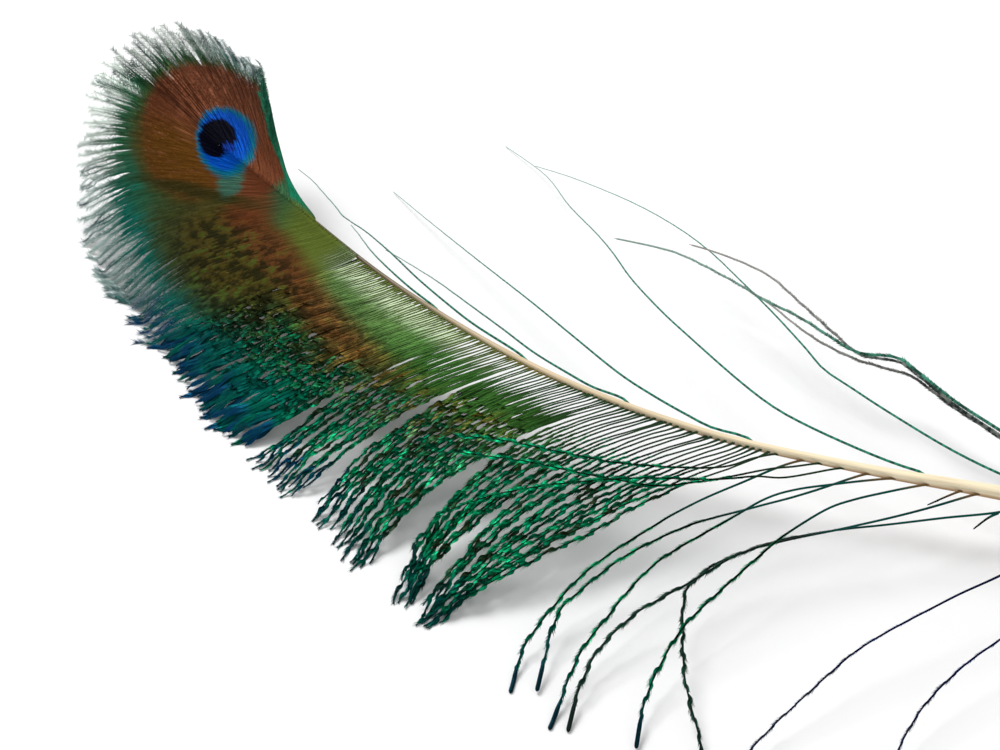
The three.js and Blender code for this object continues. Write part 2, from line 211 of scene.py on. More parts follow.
def vaneStrand(table, root, side, look, rootGap, focus=None, pinch=0.0, clump=None):
    length = float(np.interp(root, table[:, 0], table[:, 3])) - look["shorter"]
    hooked = look["hook"] * ease(root, *eyeHook["roots"])
    hooked = hooked * (1 - ease(root, *eyeHook["endRoots"])) * (side > 0)
    length += dice.normal(0, look["lengthNoise"]) + eyeHook["longer"] * hooked
    t = np.arange(0, length, pathStep)
    leaned = np.full_like(t, root)
    if focus is not None:
        leaned = root + (focus - root) * pinch * (t / length) ** look["pinchPower"]
    if look["split"]:
        at, opening, spread, start = look["split"]
        parted = np.sign(root - at) * opening * math.exp(-abs(root - at) / spread)
        leaned += parted * ease(t / length, start, 1)
    if clump is not None:
        leaned += (clump - root) * look["clump"] * ease(t / length, look["clumpFrom"], 1.0)
    p, q = barbLine(table, leaned, side, t)
    tuck = vaneFall["rootGap"] + look["tuck"] * shaftWidth(root)
    q = q - np.sign(side) * tuck * np.exp(-t / vaneFall["tuckFade"])
    grow = (t / length) ** look["wanderPower"]
    p = p + look["wander"] * grow * wave(t, waveLengths["sideways"])
    p = p - hooked * ease(t / length, *eyeHook["along"])
    lift = look["lift"] * (0.25 + grow) * wave(t, waveLengths["upward"]) + look["over"] * np.exp(-t / 3)
    up = drapeUp(p, q)
    xyz = drape(p, q) + up * lift[:, None]
    strand = finishStrand(xyz, up, p, q, root, look)
    strand["gap"] = gapAlong(table, np.full_like(t, root), side if side else 1, t, rootGap)
    return strand


looseRoot = {"buried": 0.2, "sinkFade": 1.5}


def looseStrand(points, look):
    points = np.array(points, float)
    buried = looseRoot["buried"] * shaftWidth(points[0, 0])
    flat = curveThrough(points)
    runs = lengthsAlong(flat)
    p, q, lift = rows(np.arange(0, runs[-1], pathStep), runs, flat).T
    q = np.hypot(q, buried)
    xyz = drape(p, q)
    xyz[:, 2] += lift - look["sink"] * np.exp(-q / looseRoot["sinkFade"])
    return finishStrand(xyz, drapeUp(p, q), p, q, look["rootValue"] or points[0, 0], look)


def freeStrand(points, root, look):
    points = np.array(points, float)
    joint = shaftRuns[np.linalg.norm(shaftLine - points[0], axis=1).argmin()] - look["joinBehind"]
    line = curveThrough(np.vstack([shaftAt(joint)[0], points]))
    runs = lengthsAlong(line)
    t = np.arange(0, runs[-1], pathStep)
    up = np.tile([0.0, 0.0, 1.0], (len(t), 1))
    return finishStrand(rows(t, runs, line), up, np.full_like(t, root), -t, root, look)


# what grows on a strand: a tapering stem, a thin web, and two rows of fine barbules

class Growth:
    def __init__(self):
        self.points, self.faces, self.flat, self.place, self.info, self.shine = [], [], [], [], [], []
        self.count = 0

    def take(self, points, faces, flat, place, info, shine):
        self.points.append(points)
        self.faces.append(faces + self.count)
        self.flat.append(flat)
        self.place.append(place)
        self.info.append(info)
        self.shine.append(shine)
        self.count += len(points)


def tubeFaces(rings, sides):
    r = np.arange(rings - 1)[:, None] * sides
    k = np.arange(sides)[None]
    a, b = r + k, r + (k + 1) % sides
    walls = np.stack([a, a + sides, b, b, a + sides, b + sides], -1).reshape(-1, 3)
    last = (rings - 1) * sides
    fan = np.arange(1, sides - 1)
    return np.vstack([walls, np.stack([0 * fan, fan, fan + 1], -1),
                      np.stack([last + 0 * fan, last + fan + 1, last + fan], -1)])


def takeRings(growth, strand, t, points, flat, reach, shine):
    rings, sides = points.shape[:2]
    points = points.reshape(-1, 3)
    points[:, 2] = np.maximum(points[:, 2], floorClearance)
    each = np.repeat(np.arange(rings), sides)
    n = len(points)
    flat = flat.reshape(-1, 2)
    place = np.stack([flat[:, 0], flat[:, 1], t[each] / strand["span"]], -1)
    info = np.stack([np.full(n, strand["root"]), np.full(n, strand["chance"]), reach.reshape(-1)], -1)
    growth.take(points, tubeFaces(rings, sides), flat, place, info, np.stack([x[each] for x in shine], -1))


stemShape = {"flareFade": 0.7, "endCrowding": 1.6, "swollenAt": 0.6, "roundEnd": 1.5, "shortestEnd": 0.1,
             "bluntness": 0.01, "facing": 0.35, "tone": 0.3}


def growStem(growth, strand, look):
    length, rod, sides = strand["length"], look["rod"], look["stemSides"]
    endSteps = np.linspace(1, 0, rod["steps"]) ** stemShape["endCrowding"]
    t = np.unique(np.r_[np.linspace(0, length - rod["length"], look["stemSteps"]),
                        length - rod["length"] * endSteps])
    flare = look["rootFlare"] * np.exp(-t / stemShape["flareFade"])
    radius = np.interp(t / length, [0, 1], look["stem"]) + flare
    swell = ease(t, length - rod["length"], length - stemShape["swollenAt"] * rod["length"])
    radius += (rod["radius"] - radius) * swell
    roundEnd = max(stemShape["roundEnd"] * rod["radius"], stemShape["shortestEnd"])
    left = np.clip((length - t) / roundEnd, 0, 1)
    radius *= np.sqrt(np.maximum(1 - (1 - left) ** 2, stemShape["bluntness"]))
    xyz, heading, up, across, flatAt, flatTurn = strandAt(strand, t)
    flatSide = np.stack([-flatTurn[:, 1], flatTurn[:, 0]], -1)
    turn = 2 * math.pi * (np.arange(sides) + 0.5) / sides
    offset = across[:, None] * np.cos(turn)[None, :, None] + up[:, None] * np.sin(turn)[None, :, None]
    points = xyz[:, None] + offset * radius[:, None, None]
    spread = radius[:, None] * np.cos(turn + 0.5)[None, :]
    flat = flatAt[:, None] + flatSide[:, None] * spread[..., None]
    shine = (np.full(len(t), stemShape["facing"]), swell, np.full(len(t), stemShape["tone"]))
    takeRings(growth, strand, t, points, flat, np.zeros((len(t), sides)), shine)


webShape = {"shortOfEnd": 0.6, "endTaper": 1.0, "endWidth": 0.15, "ridge": 0.1, "reach": 0.8}


def growWeb(growth, strand, look):
    length = strand["length"]
    t = np.arange(look["bare"], length - webShape["shortOfEnd"] * look["rod"]["length"], look["webStep"])
    half = np.interp(t / length, look["webAt"], look["webWidth"])
    half += np.interp(t / length, look["webAt"], look["webGap"]) * np.interp(t, strand["runs"], strand["gap"])
    xyz, heading, up, across, flatAt, flatTurn = strandAt(strand, t)
    flatSide = np.stack([-flatTurn[:, 1], flatTurn[:, 0]], -1)
    turn, tone = twistAt(strand, t, look)
    half *= (1 - look["neck"] * (1 - np.abs(np.cos(turn)))) * unevenness(strand, t, look)
    fromEnds = np.minimum(t - t[0], t[-1] - t) / webShape["endTaper"]
    half *= np.clip(fromEnds + webShape["endWidth"], 0, 1)
    face = up * np.cos(turn)[:, None] - across * np.sin(turn)[:, None]
    edges = []
    for row in (1, -1):
        skewed, _ = twistAt(strand, t + row * look["skew"], look)
        lateral = across * np.cos(skewed)[:, None] + up * np.sin(skewed)[:, None]
        edges.append(xyz + lateral * (row * half)[:, None])
    thick = face * (look["webThick"] / 2)
    points = np.stack([edges[0], xyz + thick + up * look["crown"] * half[:, None], edges[1],
                       xyz - thick + up * look["crown"] * half[:, None]], 1)
    ridge = webShape["ridge"] * half
    spread = np.stack([half, ridge, -half, -ridge], 1)
    flat = flatAt[:, None] + flatSide[:, None] * spread[..., None]
    reach = np.tile([webShape["reach"], 0.0, webShape["reach"], 0.0], (len(t), 1))
    takeRings(growth, strand, t, points, flat, reach, (np.abs(np.cos(turn)), 0 * t, tone))


barbuleShape = {"shortOfEnd": 0.8, "jitter": 0.3, "sizes": (0.8, 1.12), "angleNoise": 3, "toneNoise": 0.12,
                "rootOut": 0.04, "rootUp": 0.03, "narrowest": 0.4, "tipClimb": 0.01, "rootFlat": 0.05}
sliverFaces = np.array([[0, 2, 1], [0, 1, 3], [1, 2, 3], [2, 0, 3]])


def growBarbules(growth, strand, look):
    length, shape = strand["length"], barbuleShape
    stops = np.arange(look["bare"], length - look["rod"]["length"] * shape["shortOfEnd"], look["pitch"])
    n = len(stops)
    for row in (1, -1):
        s = stops + dice.uniform(-shape["jitter"], shape["jitter"], n) * look["pitch"]
        xyz, heading, up, across, flatAt, flatTurn = strandAt(strand, s)
        turn, tone = twistAt(strand, s + row * look["skew"], look)
        turn = turn + dice.normal(0, look["roughness"], n)
        lateral = across * np.cos(turn)[:, None] + up * np.sin(turn)[:, None]
        face = up * np.cos(turn)[:, None] - across * np.sin(turn)[:, None]
        size = np.interp(s / length, look["webAt"], look["reach"])
        gap = np.interp(s, strand["runs"], strand["gap"])
        size += np.interp(s / length, look["webAt"], look["reachGap"]) * gap
        size *= dice.uniform(*shape["sizes"], n) * (1 - look["neck"] * (1 - np.abs(np.cos(turn))))
        size *= unevenness(strand, s, look)
        leaning = np.interp(s / length, [0, 1], look["angle"]) + dice.normal(0, shape["angleNoise"], n)
        angle = np.radians(leaning)
        direction = heading * np.cos(angle)[:, None] + lateral * (row * np.sin(angle))[:, None]
        base = xyz + lateral * (row * shape["rootOut"]) + face * shape["rootUp"]
        half = look["width"] / 2 * np.minimum(1, shape["narrowest"] + size / 2)
        b1, b2 = base - heading * half[:, None], base + heading * half[:, None]
        b3 = base + face * (look["thick"] * np.minimum(1, size))[:, None]
        tip = base + direction * size[:, None]
        points = np.stack([b1, b2, b3, tip], 1)
        points[..., 2] = np.maximum(points[..., 2], floorClearance + shape["tipClimb"] * np.arange(4))
        volume = np.einsum("ij,ij->i", b2 - b1, np.cross(b3 - b1, tip - b1))
        corners = np.where((volume > 0)[:, None, None], sliverFaces, sliverFaces[:, ::-1])
        faces = 4 * np.arange(n)[:, None, None] + corners
        flatSide = np.stack([-flatTurn[:, 1], flatTurn[:, 0]], -1) * row
        reached = flatTurn * (np.cos(angle) * size)[:, None] + flatSide * (np.sin(angle) * size)[:, None]
        flat = np.stack([flatAt - flatTurn * half[:, None], flatAt + flatTurn * half[:, None],
                         flatAt + flatSide * shape["rootFlat"], flatAt + reached], 1)
        place = np.zeros((n, 4, 3))
        place[..., :2] = flatAt[:, None]
        place[:, 3, :2] += reached
        place[..., 2] = (s / strand["span"])[:, None]
        info = np.zeros((n, 4, 3))
        info[..., 0], info[..., 1], info[:, 3, 2] = strand["root"], strand["chance"], 1
        shine = np.zeros((n, 4, 3))
        shine[..., 0] = np.abs(np.cos(turn))[:, None]
        shine[..., 2] = np.clip(tone + dice.normal(0, shape["toneNoise"], n), 0, 1)[:, None]
        growth.take(points.reshape(-1, 3), faces.reshape(-1, 3), flat.reshape(-1, 2),
                    place.reshape(-1, 3), info.reshape(-1, 3), shine.reshape(-1, 3))


def growPiece(name, strands, look, material, nodes):
    growth = Growth()
    for strand in strands:
        growStem(growth, strand, look)
        growWeb(growth, strand, look)
        growBarbules(growth, strand, look)
    points, faces, flat = (np.vstack(x) for x in (growth.points, growth.faces, growth.flat))
    mesh = bpy.data.meshes.new(name)
    mesh.vertices.add(len(points))
    mesh.vertices.foreach_set("co", (points * mm).astype(np.float32).ravel())
    mesh.loops.add(faces.size)
    mesh.loops.foreach_set("vertex_index", faces.astype(np.int32).ravel())
    mesh.polygons.add(len(faces))
    mesh.polygons.foreach_set("loop_start", np.arange(0, faces.size, 3, dtype=np.int32))
    mesh.update(calc_edges=True)
    mesh.shade_flat()
    readable = {"vanePlace": growth.place, "barbInfo": growth.info, "barbuleShine": growth.shine}
    for label, parts in readable.items():
        layer = mesh.attributes.new(label, "FLOAT_VECTOR", "POINT")
        layer.data.foreach_set("vector", np.vstack(parts).astype(np.float32).ravel())
    low, high = flat.min(0), flat.max(0)
    layout = mesh.uv_layers.new(name="OFBake")
    margin = 0.01
    uv = ((flat - low) / (high - low) * (1 - 2 * margin) + margin)[faces.ravel()]
    layout.uv.foreach_set("vector", uv.astype(np.float32).ravel())
    piece = bpy.data.objects.new(name, mesh)
    bpy.context.scene.collection.objects.link(piece)
    mesh.materials.append(material)
    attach(piece, "root")
    if nodes:
        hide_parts(*nodes)
    print(name, len(faces), "triangles")


# materials: colours and how they are mixed

def colour(code):
    parts = [int(code[i:i + 2], 16) / 255 for i in (1, 3, 5)]
    return [c / 12.92 if c <= 0.04045 else ((c + 0.055) / 1.055) ** 2.4 for c in parts] + [1.0]


def setInput(tree, socket, value):
    if isinstance(value, bpy.types.NodeSocket):
        tree.links.new(value, socket)
    elif isinstance(value, str):
        socket.default_value = colour(value)
    else:
        socket.default_value = value


def addNode(tree, kind, values=(), **settings):
    made = tree.nodes.new(kind)
    for key, value in settings.items():
        setattr(made, key, value)
    for key, value in dict(values).items():
        setInput(tree, made.inputs[key], value)
    return made


def maths(tree, operation, *values):
    made = addNode(tree, "ShaderNodeMath", operation=operation)
    for socket, value in zip(made.inputs, values):
        setInput(tree, socket, value)
    return made.outputs[0]


def ramp(tree, value, low, high):
    made = addNode(tree, "ShaderNodeMapRange", {"Value": value, "From Min": low, "From Max": high},
                   interpolation_type="SMOOTHSTEP")
    return made.outputs["Result"]


def blendColours(tree, amount, below, above, how="MIX"):
    made = addNode(tree, "ShaderNodeMix", data_type="RGBA", blend_type=how)
    setInput(tree, made.inputs["Factor"], amount)
    setInput(tree, made.inputs["A"], below)
    setInput(tree, made.inputs["B"], above)
    return made.outputs["Result"]


def newGroup(name, given, result):
    group = bpy.data.node_groups.new(name, "ShaderNodeTree")
    for label, value in given.items():
        socket = group.interface.new_socket(label, in_out="INPUT", socket_type="NodeSocketFloat")
        socket.default_value = value
    group.interface.new_socket(result, in_out="OUTPUT", socket_type="NodeSocketFloat")
    return group, group.nodes.new("NodeGroupInput").outputs, group.nodes.new("NodeGroupOutput").inputs


def ovalZoneGroup():
    group, given, result = newGroup("ovalZone", {
        "P": 0, "Q": 0, "Centre P": 0, "Centre Q": 0, "Half P": 10, "Half Q": 10, "Slope": 0,
        "Softness": 0.2, "Strength": 1.0}, "Mask")
    ahead = maths(group, "SUBTRACT", given["P"], given["Centre P"])
    beside = maths(group, "SUBTRACT", maths(group, "SUBTRACT", given["Q"], given["Centre Q"]),
                   maths(group, "MULTIPLY", ahead, given["Slope"]))
    x = maths(group, "DIVIDE", ahead, given["Half P"])
    y = maths(group, "DIVIDE", beside, given["Half Q"])
    squares = maths(group, "ADD", maths(group, "MULTIPLY", x, x), maths(group, "MULTIPLY", y, y))
    inner = maths(group, "SUBTRACT", 1.0, given["Softness"])
    outer = maths(group, "ADD", 1.0, given["Softness"])
    inside = maths(group, "SUBTRACT", 1.0, ramp(group, maths(group, "SQRT", squares), inner, outer))
    group.links.new(maths(group, "MULTIPLY", inside, given["Strength"]), result["Mask"])
    return group


def grainGroup():
    group, given, result = newGroup("grain", {"X": 0, "Y": 0, "Z": 0, "Detail": 3.0}, "Value")
    place = addNode(group, "ShaderNodeCombineXYZ", {axis: given[axis] for axis in "XYZ"})
    values = {"Vector": place.outputs[0], "Scale": 1.0, "Detail": given["Detail"]}
    noise = addNode(group, "ShaderNodeTexNoise", values)
    group.links.new(noise.outputs["Fac"], result["Value"])
    return group


def newMaterial(name, roughness):
    material = bpy.data.materials.new(name)
    material.use_nodes = True
    tree = material.node_tree
    shader = tree.nodes["Principled BSDF"]
    shader.inputs["Roughness"].default_value = roughness
    return material, tree, shader


def readings(tree):
    place = addNode(tree, "ShaderNodeAttribute", attribute_name="vanePlace")
    info = addNode(tree, "ShaderNodeAttribute", attribute_name="barbInfo")
    shine = addNode(tree, "ShaderNodeAttribute", attribute_name="barbuleShine")
    splits = [addNode(tree, "ShaderNodeSeparateXYZ", {"Vector": n.outputs["Vector"]}).outputs
              for n in (place, info, shine)]
    names = ("p", "q", "along", "root", "chance", "reach", "facing", "rod", "tone")
    return dict(zip(names, [s[k] for s in splits for k in "XYZ"]))


ovalZone = ovalZoneGroup()
grain = grainGroup()

# each zone is laid over those before it: colour, centre p and q, half sizes, slope, softness, strength
eyeZones = [
    ("#40552e", 204, 3, 24, 9.5, -0.12, 0.4, 0.75),
    ("#545e1f", 218, 3, 10, 9.5, -0.12, 0.5, 0.75),
    ("#59351c", 205, 15.0, 21, 3.8, -0.05, 0.7, 0.8),
    ("#393f1c", 238, 19, 28, 13, 0, 0.3, 0.9),
    ("#4a3a12", 234, 18, 20, 9, 0, 0.4, 0.7),
    ("#57341a", 224, 11, 19, 4.2, -0.08, 0.6, 0.95),
    ("#5a2f18", 239, 6.5, 8, 6, 0, 0.5, 0.85),
    ("#2c4424", 266, -2, 26, 21.5, 0, 0.1, 0.95),
    ("#59301c", 250, -1, 14, 9.5, 0, 0.12, 1.0),
    ("#59301c", 266, -2, 22, 18.2, 0, 0.1, 1.0),
    ("#55360a", 266, 9.5, 19, 7.5, 0, 0.5, 0.85),
    ("#262a10", 255, 12, 20, 1.7, 0.34, 0.6, 0.8),
    ("#2f5a4c", 247.6, 5.2, 3.6, 3.6, 0, 0.35, 0.9),
    ("#04586a", 257.4, -1.7, 10.8, 7.8, -0.15, 0.1, 1.0),
    ("#003f98", 258, -1.7, 9.2, 6.6, -0.15, 0.14, 1.0),
    ("#00000c", 260.0, -1.0, 6.0, 4.7, 0, 0.1, 1.0),
    ("#062a78", 254.7, -0.8, 1.8, 1.1, 0, 0.4, 1.0),
]


zoneInputs = ("Centre P", "Centre Q", "Half P", "Half Q", "Slope", "Softness", "Strength")
vaneZones = {"speckled": [(226, 21, 30, 12, 0, 0.35, 1.0), (196, 17, 22, 6, 0, 0.5, 0.9)],
             "flecked": (222, 22, 26, 12, 0, 0.35, 1.0), "streakedCopper": (270, -3, 18, 16, 0, 0.3, 0.2),
             "blueSpot": (257.4, -1.7, 11.6, 8.6, 0, 0.1, 1.0), "greyBarb": (66, 0, 7, 1, 0, 0.2, 1.0)}


def zoneMask(tree, p, q, values):
    given = dict(zip(zoneInputs, map(float, values)), P=p, Q=q)
    return addNode(tree, "ShaderNodeGroup", given, node_tree=ovalZone).outputs["Mask"]


def grainOf(tree, x, y, z=0.0, detail=3.0):
    given = {"X": x, "Y": y, "Z": z, "Detail": detail}
    return addNode(tree, "ShaderNodeGroup", given, node_tree=grain).outputs["Value"]


def product(tree, *values):
    made = values[0]
    for value in values[1:]:
        made = maths(tree, "MULTIPLY", made, value)
    return made


vaneColours = {
    "edgeOnShade": "#0a100a", "blade": "#006b48", "bladeHighlight": "#12a86e", "dullBlade": "#2a2e18",
    "leafyDark": "#1b3314", "leafy": "#345f26", "bronze": "#704818", "eyeDark": "#17382a", "eye": "#2f5d3c",
    "tealShaded": "#04241f", "teal": "#07665a", "navyShaded": "#061a2c", "navy": "#0d4265", "lockEnds": "#07393c",
    "thinDark": "#14291e", "thin": "#35502f", "joined": "#8f6d42", "hazyDark": "#39421f", "hazy": "#838f78",
    "mottled": "#11160b", "flecks": "#3f5c20", "wispDark": "#24444a", "topWispDark": "#4a625a",
    "wisp": "#9fb4ae", "topWisp": "#cdd8cf", "farEdgeDark": "#064a3c", "farEdge": "#0d7a55",
    "farSide": "#c4c4c4", "copper": "#a86a50", "rods": "#06202a", "looseDark": "#0a2e34", "loose": "#125a4c",
    "greyDark": "#0c100e", "grey": "#2c4038", "blueShaded": "#0a1236", "blue": "#1248b4", "blueEnd": "#39424e",
    "tanRoots": "#7c5c38"}
vaneRanges = {  # where an effect starts and where it is full, by what it depends on
    "root": {"eye": (203, 212), "leafy": (122, 142), "bronze": (128, 160), "teal": (160, 185),
             "tealEnd": (246, 232), "navy": (140, 165), "navyEnd": (238, 222), "lockEnds": (165, 150),
             "thin": (170, 130), "joined": (190, 175), "joinedEnd": (146, 156), "hazy": (150, 172),
             "hazyEnd": (212, 204), "wisps": (212, 228), "topWisps": (236, 250), "farEdge": (231, 229.5),
             "rods": (220, 200), "loose": (106.5, 104.5), "blue": (55, 50), "tanRoots": (108.4, 107.8)},
    "along": {"leafy": (0.52, 0.34), "bronze": (0.24, 0.36), "bronzeEnd": (0.66, 0.45), "thin": (0.24, 0.1),
              "loose": (0.46, 0.3), "grey": (0.3, 0.45), "blueEnd": (0.5, 0.7)},
    "outer": {"teal": (0.55, 0.74), "navy": (0.76, 0.94), "lockEnds": (0.78, 0.98), "wisps": (0.72, 0.92)},
    "q": {"hazy": (8.0, 3.2), "tanRoots": (4.5, 1.5)},
    "offShaft": {"joined": (1.9, 0.9)},
    "driftingQ": {"farEdge": (-0.2, -1.6), "farSide": (0.3, -0.6)},
    "reach": {"lit": (1.2, 0.45), "leafy": (1.3, 0.5), "hazy": (0.15, 0.5)},
    "tone": {"bright": (0.5, 1.0), "dull": (0.18, 0.1), "bronze": (0.55, 0.85)},
    "streak": {"navy": (0.36, 0.56), "wisps": (0.3, 0.55), "copper": (0.52, 0.72)},
    "mottle": {"mottled": (0.46, 0.56), "flecks": (0.44, 0.34)},
    "glint": {"lit": (0.4, 0.95)}}
vaneAmounts = {"dull": 0.85, "bronze": 0.8, "eye": 0.9, "lockEnds": 0.8, "thin": 0.85, "joined": 0.35,
               "mottled": 0.75, "flecks": 0.55, "farEdge": 0.95, "rods": 0.85, "grey": 0.85, "tanRoots": 0.8}
vaneGrain = {  # streak and mottle: how fine from barb to barb, how fine along a barb, layer of the noise
    "streak": (0.9, 5.0, 0.0), "mottle": (0.4, 17.0, 4.0), "driftP": 1.2, "driftQ": 2.4, "driftOut": 0.3,
    "toneInGlint": 0.5}


def vaneMaterial():
    material, tree, shader = newMaterial("iridescentVane", 0.36)
    r, c, amounts, grains = readings(tree), vaneColours, vaneAmounts, vaneGrain
    times = lambda *values: product(tree, *values)
    shade = lambda amount, below, above: blendColours(tree, amount, below, above)
    within = lambda kind, effect: ramp(tree, r[kind], *vaneRanges[kind][effect])
    less = lambda value, amount: maths(tree, "SUBTRACT", value, amount)
    plus = lambda value, extra: maths(tree, "ADD", value, extra)
    # streaks run along the barbs, mottling across them
    r["streak"], r["mottle"] = [
        grainOf(tree, times(r["root"], byRoot), times(r["along"], byLength), layer)
        for byRoot, byLength, layer in (grains["streak"], grains["mottle"])]
    drift = less(r["streak"], 0.5)
    p = plus(r["p"], times(less(r["chance"], 0.5), grains["driftP"]))
    q = plus(r["q"], times(drift, grains["driftQ"]))
    r["driftingQ"], r["offShaft"] = q, maths(tree, "ABSOLUTE", r["q"])
    r["outer"] = plus(r["along"], times(drift, grains["driftOut"]))
    r["glint"] = plus(r["facing"], times(less(r["tone"], 0.5), grains["toneInGlint"]))
    # ropes: painted light on the blades: emerald where a blade lies flat, painted shade near black where it
    # turns edge on and darker towards its edges, and a painted highlight on the brighter blades
    lit = times(within("glint", "lit"), within("reach", "lit"))
    body = shade(lit, c["edgeOnShade"], c["blade"])
    body = shade(times(within("tone", "bright"), lit), body, c["bladeHighlight"])
    body = shade(times(within("tone", "dull"), amounts["dull"]), body, c["dullBlade"])
    # yellow-green and bronze nearer the shaft
    leafy = times(within("along", "leafy"), within("root", "leafy"))
    body = shade(leafy, body, shade(times(r["tone"], within("reach", "leafy")), c["leafyDark"], c["leafy"]))
    bronze = times(within("along", "bronze"), within("along", "bronzeEnd"), within("root", "bronze"),
                   within("tone", "bronze"))
    body = shade(times(bronze, amounts["bronze"]), body, c["bronze"])
    inEye = times(within("root", "eye"), amounts["eye"])
    body = shade(inEye, body, shade(r["streak"], c["eyeDark"], c["eye"]))
    # outer ends turn teal, then blue and navy, each mixed with a darker copy as painted shade where the
    # blades turn edge on
    teal = times(within("outer", "teal"), within("root", "teal"), within("root", "tealEnd"))
    body = shade(teal, body, shade(lit, c["tealShaded"], c["teal"]))
    navy = times(within("outer", "navy"), within("root", "navy"), within("root", "navyEnd"),
                 within("streak", "navy"))
    body = shade(navy, body, shade(lit, c["navyShaded"], c["navy"]))
    ends = times(within("outer", "lockEnds"), within("root", "lockEnds"), amounts["lockEnds"])
    body = shade(ends, body, c["lockEnds"])
    # thin dark barbs by the shaft, tan where they join it
    thin = times(within("along", "thin"), within("root", "thin"), amounts["thin"])
    body = shade(thin, body, shade(r["streak"], c["thinDark"], c["thin"]))
    joined = times(within("offShaft", "joined"), within("root", "joined"), within("root", "joinedEnd"))
    body = shade(times(joined, amounts["joined"]), body, c["joined"])
    for code, *values in eyeZones:
        body = shade(zoneMask(tree, p, q, values), body, code)
    # a thin pale web between dark barbs near the shaft
    hazy = times(within("q", "hazy"), within("root", "hazy"), within("root", "hazyEnd"))
    body = shade(hazy, body, shade(within("reach", "hazy"), c["hazyDark"], c["hazy"]))
    speckled = maths(tree, "MAXIMUM", *[zoneMask(tree, p, q, values) for values in vaneZones["speckled"]])
    mottled = times(speckled, within("mottle", "mottled"), amounts["mottled"])
    body = shade(mottled, body, c["mottled"])
    flecks = times(zoneMask(tree, p, q, vaneZones["flecked"]), within("mottle", "flecks"), amounts["flecks"])
    body = shade(flecks, body, c["flecks"])
    # pale wisps all round the fringe of the eye, and a green line along its far edge
    wisp = times(within("outer", "wisps"), within("root", "wisps"))
    high = within("root", "topWisps")
    body = shade(wisp, body, shade(within("streak", "wisps"), shade(high, c["wispDark"], c["topWispDark"]),
                                   shade(high, c["wisp"], c["topWisp"])))
    farEdge = times(within("root", "farEdge"), within("driftingQ", "farEdge"), amounts["farEdge"])
    body = shade(farEdge, body, shade(r["streak"], c["farEdgeDark"], c["farEdge"]))
    # the far side of the eye catches more light, so it is toned down to match
    body = blendColours(tree, within("driftingQ", "farSide"), body, c["farSide"], "MULTIPLY")
    # soft paler streaks on the copper
    copper = times(zoneMask(tree, p, q, vaneZones["streakedCopper"]), within("streak", "copper"))
    away = maths(tree, "SUBTRACT", 1.0, zoneMask(tree, p, q, vaneZones["blueSpot"]))
    body = shade(times(copper, away), body, c["copper"])
    body = shade(times(r["rod"], amounts["rods"], within("root", "rods")), body, c["rods"])
    # the loosest barbs are dark teal at the root, greyer or bluer further down the shaft
    loose = times(within("root", "loose"), within("along", "loose"))
    body = shade(loose, body, shade(r["streak"], c["looseDark"], c["loose"]))
    greyed = times(zoneMask(tree, r["root"], 0.0, vaneZones["greyBarb"]), within("along", "grey"))
    body = shade(times(greyed, amounts["grey"]), body, shade(r["tone"], c["greyDark"], c["grey"]))
    # painted shade: the blue barb's blades turn dark blue where they turn edge on
    dashes = shade(within("along", "blueEnd"), c["blue"], c["blueEnd"])
    body = shade(within("root", "blue"), body, shade(lit, c["blueShaded"], dashes))
    rooted = times(within("q", "tanRoots"), within("root", "tanRoots"), amounts["tanRoots"])
    body = shade(rooted, body, c["tanRoots"])
    tree.links.new(body, shader.inputs["Base Color"])
    shader.inputs["Metallic"].default_value = 0.45
    shader.inputs["Specular IOR Level"].default_value = 0.0
    return material


bareBarb = {"green": ("#17503f", "#2c9478"), "greenEnd": "#98b8ab", "grey": ("#24302e", "#7a7e78"),
            "greyEnd": "#a8a5a1", "greyRoots": (104, 108), "ends": (0.4, 0.95), "endAmount": 0.8,
            "greenFlecks": (0.42, 0.58), "greyFlecks": (0.4, 0.65), "grain": (1.1, 0.3)}


def bareBarbMaterial():
    material, tree, shader = newMaterial("bareBarb", 0.4)
    r, look = readings(tree), bareBarb
    fleck = grainOf(tree, product(tree, r["q"], look["grain"][0]), product(tree, r["root"], look["grain"][1]))
    ends = product(tree, ramp(tree, r["along"], *look["ends"]), look["endAmount"])
    greyed = ramp(tree, r["root"], *look["greyRoots"])
    green = blendColours(tree, ramp(tree, fleck, *look["greenFlecks"]), *look["green"])
    grey = blendColours(tree, ramp(tree, fleck, *look["greyFlecks"]), *look["grey"])
    body = blendColours(tree, greyed, blendColours(tree, ends, green, look["greenEnd"]), grey)
    body = blendColours(tree, product(tree, greyed, ends), body, look["greyEnd"])
    tree.links.new(body, shader.inputs["Base Color"])
    shader.inputs["Metallic"].default_value = 0.3
    shader.inputs["Specular IOR Level"].default_value = 0.15
    return material


shaftLook = {
    "grain": (0.12, 5.0, 5.0), "grainDetail": 5.0, "bump": {"Strength": 0.25, "Distance": 0.0002},
    "sides": ("height", -0.5, 0.35, "#a87c48", "#fdeecb"),
    # what it depends on, where it starts, where it is full, how much, colour
    "bands": [("along", 92, 150, 0.4, "#b08a58"), ("grain", 0.4, 0.75, 0.35, "#a98358"),
              ("height", -0.8, -0.95, 1.0, "#d9c8a6"), ("along", 150, 205, 1.0, "#5a4a2a")]}


